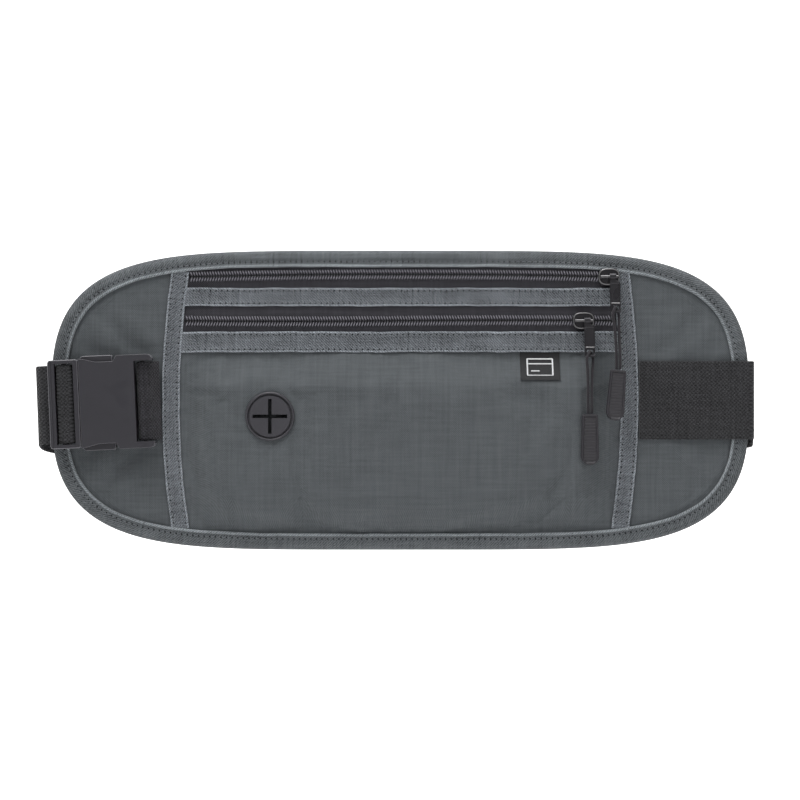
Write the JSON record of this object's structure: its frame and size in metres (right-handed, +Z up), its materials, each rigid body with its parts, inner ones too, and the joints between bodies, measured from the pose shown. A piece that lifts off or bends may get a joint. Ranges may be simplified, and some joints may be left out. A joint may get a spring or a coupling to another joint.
{
  "type": "money belt",
  "caption": "Flat fabric waist pouch with zipped pockets, a rubber cable grommet, pull cords, an elastic strap and a side-release buckle",
  "frame": {"origin": "on the outer face of the strap's back run, where it lies against the wearer, at the middle of the pouch", "axes": "+X to the wearer's left as seen from the front along the pouch, +Y towards the wearer, +Z up; the pouch's front faces -Y"},
  "size_m": [0.3197, 0.0185, 0.1334],
  "materials": {
    "fabric": "plain woven, matt",
    "lining": "metallised blocking fleece",
    "tape": "twill binding tape",
    "zip_tape": "woven zip tape",
    "coil": "nylon coil",
    "strap": "woven elastic",
    "plastic": "moulded, fine grain",
    "rubber": "soft touch",
    "metal": "dark plated",
    "cord": "braided",
    "label": "woven label"
  },
  "bodies": {
    "pouch": {"back_panel": "fabric", "blocking_lining": "lining", "pocket_divider": "fabric", "front_pocket_panel": "fabric", "left_wing_panel": "fabric", "right_wing_panel": "fabric", "edge_binding": "tape", "left_side_tape": "tape", "right_side_tape": "tape", "middle_tape": "tape", "lower_tape": "tape", "upper_zip_tape_top": "zip_tape", "upper_zip_tape_bottom": "zip_tape", "lower_zip_tape_top": "zip_tape", "lower_zip_tape_bottom": "zip_tape", "upper_zip_coil_top": "coil", "upper_zip_coil_bottom": "coil", "lower_zip_coil_top": "coil", "lower_zip_coil_bottom": "coil", "grommet_ring": "rubber", "grommet_diaphragm": "rubber", "grommet_back_washer": "rubber", "woven_label": "label", "waist_strap": "strap", "buckle_webbing": "strap", "buckle_socket": "plastic"},
    "upper_zip": {"upper_slider": "metal"},
    "upper_tab": {"upper_pull_tab": "metal"},
    "upper_grip": {"upper_pull_cord": "cord", "upper_pull_grip": "rubber"},
    "lower_zip": {"lower_slider": "metal"},
    "lower_tab": {"lower_pull_tab": "metal"},
    "lower_grip": {"lower_pull_cord": "cord", "lower_pull_grip": "rubber"},
    "plug": {"buckle_plug": "plastic", "strap_buckle_end": "strap"},
    "upper_arm": {"buckle_upper_arm": "plastic"},
    "lower_arm": {"buckle_lower_arm": "plastic"}
  },
  "joints": [
    {"name": "upper_zip_slide", "type": "slide", "parent": "pouch", "child": "upper_zip", "axis": [-1, 0, 0], "range_m": [0, 0.168]},
    {"name": "upper_tab_swing", "type": "hinge", "parent": "upper_zip", "child": "upper_tab", "pos_m": [0.0927, -0.0105, 0.0548], "axis": [-1, 0, 0], "range_deg": [0, 120]},
    {"name": "upper_grip_swing", "type": "hinge", "parent": "upper_tab", "child": "upper_grip", "pos_m": [0.0951, -0.01347, 0.04081], "axis": [-1, 0, 0], "range_deg": [0, 15]},
    {"name": "lower_zip_slide", "type": "slide", "parent": "pouch", "child": "lower_zip", "axis": [-1, 0, 0], "range_m": [0, 0.168]},
    {"name": "lower_tab_swing", "type": "hinge", "parent": "lower_zip", "child": "lower_tab", "pos_m": [0.0814, -0.0105, 0.0353], "axis": [-1, 0, 0], "range_deg": [0, 120]},
    {"name": "lower_grip_swing", "type": "hinge", "parent": "lower_tab", "child": "lower_grip", "pos_m": [0.0838, -0.01347, 0.02131], "axis": [-1, 0, 0], "range_deg": [0, 15]},
    {"name": "buckle_slide", "type": "slide", "parent": "pouch", "child": "plug", "axis": [-0.999, 0, -0.0436], "range_m": [0, 0.025], "deforming": ["buckle_upper_arm", "buckle_lower_arm"]},
    {"name": "upper_arm_squeeze", "type": "hinge", "parent": "plug", "child": "upper_arm", "pos_m": [-0.14314, -0.0125, 0.01342], "axis": [0, 1, 0], "range_deg": [0, 6.5], "stiffness_Nm_per_rad": 0.5},
    {"name": "lower_arm_squeeze", "type": "hinge", "parent": "plug", "child": "lower_arm", "pos_m": [-0.14183, -0.0125, -0.01655], "axis": [0, 1, 0], "range_deg": [-6.5, 0], "stiffness_Nm_per_rad": 0.5}
  ],
  "couplings": [
    {"joint": "lower_arm_squeeze", "follows": "upper_arm_squeeze", "ratio": -1}
  ]
}
